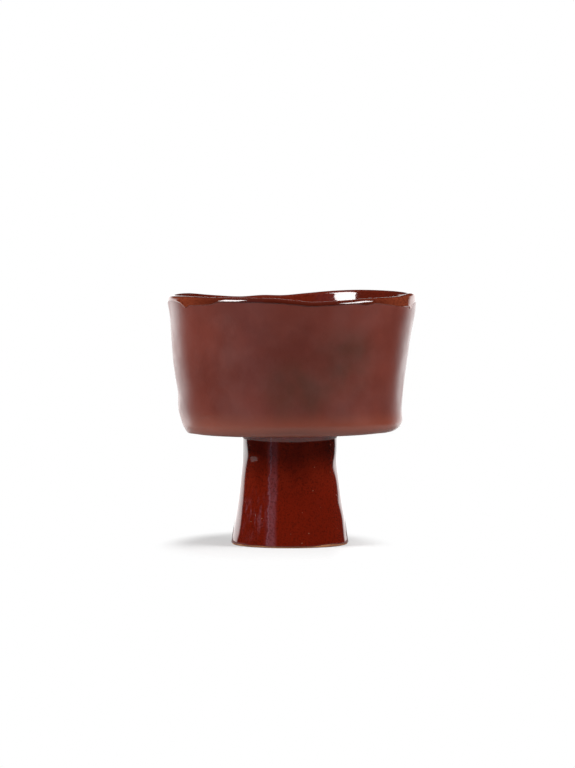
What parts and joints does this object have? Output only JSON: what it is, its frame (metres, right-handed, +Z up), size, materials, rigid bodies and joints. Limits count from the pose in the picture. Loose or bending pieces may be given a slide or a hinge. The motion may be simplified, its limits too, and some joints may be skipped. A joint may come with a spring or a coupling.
{
  "type": "serving bowl",
  "caption": "Pedestal serving bowl in glazed stoneware: a deep round bowl with a wavy hand-cut lip on a flared hollow foot, for salad or fruit.",
  "frame": {"origin": "on the table, under the middle of the bowl's outline seen from above", "axes": "+Z up, -Y towards the side that the picture shows, +X to its right"},
  "size_m": [0.2399, 0.24, 0.2427],
  "materials": {
    "bare_clay": "matte",
    "gloss_glaze": "gloss",
    "satin_glaze": "satin"
  },
  "bodies": {
    "root": {"pedestal": "bare_clay", "outer_luting_fillet": "bare_clay", "inner_luting_coil": "bare_clay", "floor_slab": "bare_clay", "bowl_wall": "bare_clay", "wall_seam_coil": "bare_clay", "foot_glaze": "gloss_glaze", "wall_glaze": "satin_glaze", "liner_glaze": "gloss_glaze"}
  },
  "joints": []
}
